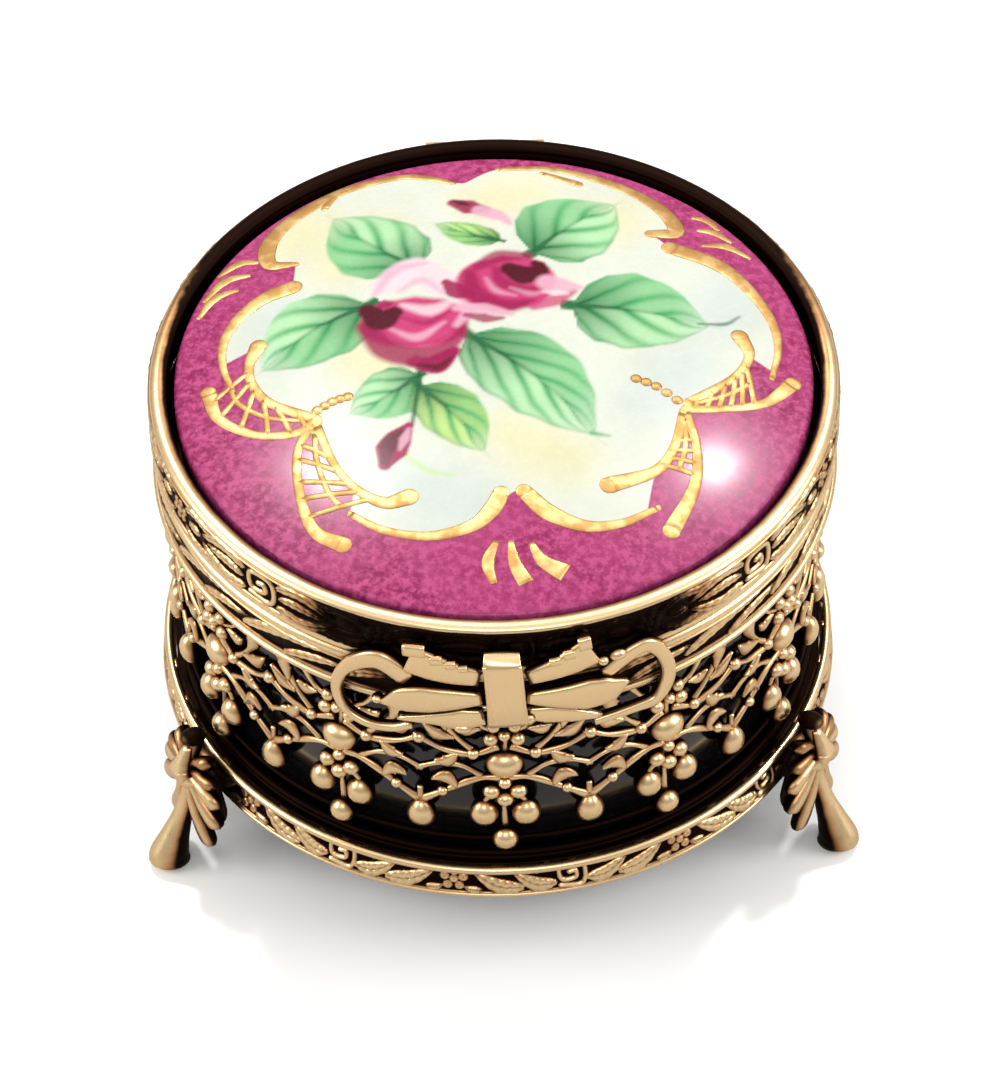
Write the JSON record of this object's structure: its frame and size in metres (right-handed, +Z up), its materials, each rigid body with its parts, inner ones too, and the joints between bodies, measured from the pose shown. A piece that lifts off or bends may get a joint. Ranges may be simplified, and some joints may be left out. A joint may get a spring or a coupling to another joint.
{
  "type": "powder jar",
  "caption": "Round footed powder jar with a hinged lid set with a domed painted porcelain plaque, an openwork brass wall round a dark glass liner, and a ribbon bow thumb lift.",
  "frame": {"origin": "middle of the resting plane under the three feet, on the axis of the jar", "axes": "+Z up; -Y front, where the bow is; +Y back, where the hinge is; +X to the right seen from the front"},
  "size_m": [0.097, 0.1022, 0.0689],
  "materials": {
    "antique_brass": "embossed and pierced brass, dark patina in the recesses, rubbed bright on the high points",
    "cast_brass": "cast and tumbled brass, satin, dark in the grooves",
    "bright_brass": "polished drawn brass wire and rolled edges",
    "plain_brass": "plain rolled sheet, lightly tarnished",
    "porcelain": "glossy glaze, hand-painted flowers on cream and pink lustre",
    "gilding": "burnished gilding over the glaze",
    "dark_glass": "opaque black pressed glass, glossy",
    "packing_card": "grey packing card"
  },
  "bodies": {
    "jar": {"base_ring": "antique_brass", "base_bead": "bright_brass", "floor_plate": "plain_brass", "wall_foot_wire": "bright_brass", "wall_filigree": "antique_brass", "collar_band": "antique_brass", "collar_wire": "bright_brass", "collar_roll": "bright_brass", "liner": "dark_glass", "foot_left": "cast_brass", "foot_right": "cast_brass", "foot_back": "cast_brass", "foot_rivets": "bright_brass", "hinge_leaf_body": "plain_brass", "hinge_rivets_body": "bright_brass", "hinge_pin": "bright_brass"},
    "lid": {"lid_band": "antique_brass", "lid_lip": "bright_brass", "lid_tray": "plain_brass", "plaque_pad": "packing_card", "plaque": "porcelain", "hinge_leaf_lid": "plain_brass", "hinge_rivets_lid": "bright_brass", "bow_ribbon": "cast_brass", "bow_knot": "cast_brass", "bow_stud": "plain_brass"}
  },
  "joints": [
    {"name": "lid_hinge", "type": "hinge", "parent": "jar", "child": "lid", "pos_m": [0, 0.0474, 0.0564], "axis": [-1, 0, 0], "range_deg": [0, 100]}
  ]
}
